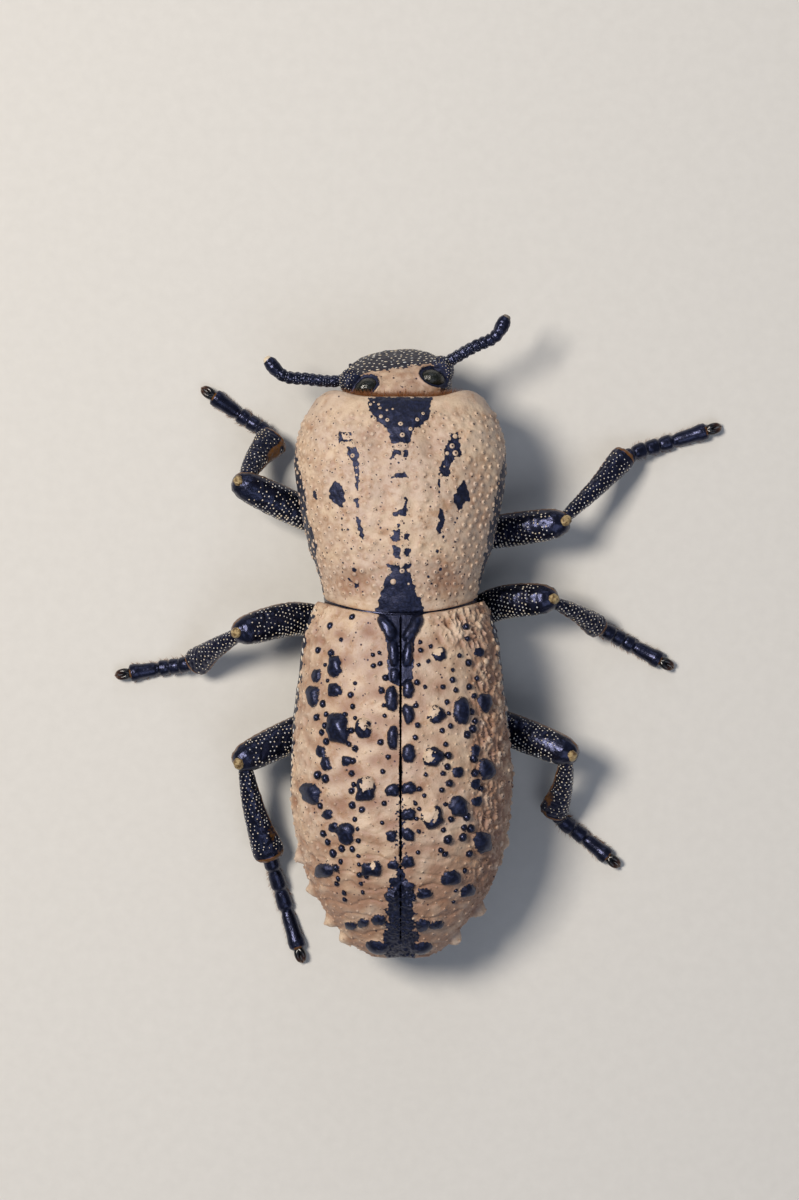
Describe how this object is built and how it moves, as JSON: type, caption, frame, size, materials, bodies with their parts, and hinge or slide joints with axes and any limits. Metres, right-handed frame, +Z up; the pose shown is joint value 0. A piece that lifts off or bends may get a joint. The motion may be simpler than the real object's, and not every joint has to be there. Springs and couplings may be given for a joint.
{
  "type": "zopherus chilensis beetle",
  "caption": "Life-size ironclad beetle, black with a tan crust and rows of black tubercles on its wing cases, standing on small flats under its feet.",
  "frame": {"origin": "on the floor, under the middle of the box that body, legs and feelers fill", "axes": "+Z up, +Y the way the head points, +X to the animal's right"},
  "size_m": [0.0406, 0.0429, 0.0128],
  "materials": {
    "tan_crust": "matt waxy tan crust with black markings and granules",
    "black_cuticle": "glossy blue-black cuticle with small cream granules",
    "compound_eye": "glossy faceted dark green-black"
  },
  "bodies": {
    "root": {"prothorax": "tan_crust", "elytron_left": "tan_crust", "elytron_right": "tan_crust", "eye_left": "compound_eye", "eye_right": "compound_eye", "head": "black_cuticle", "antenna_left": "black_cuticle", "antenna_right": "black_cuticle", "mandible_left": "black_cuticle", "mandible_right": "black_cuticle", "palp_left": "black_cuticle", "palp_right": "black_cuticle", "metathorax": "black_cuticle", "abdomen": "black_cuticle", "femur_fore_left": "black_cuticle", "femur_fore_right": "black_cuticle", "femur_mid_left": "black_cuticle", "femur_mid_right": "black_cuticle", "femur_hind_left": "black_cuticle", "femur_hind_right": "black_cuticle", "tibia_fore_left": "black_cuticle", "tibia_fore_right": "black_cuticle", "tibia_mid_left": "black_cuticle", "tibia_mid_right": "black_cuticle", "tibia_hind_left": "black_cuticle", "tibia_hind_right": "black_cuticle", "tarsus_fore_left": "black_cuticle", "tarsus_fore_right": "black_cuticle", "tarsus_mid_left": "black_cuticle", "tarsus_mid_right": "black_cuticle", "tarsus_hind_left": "black_cuticle", "tarsus_hind_right": "black_cuticle"}
  },
  "joints": []
}
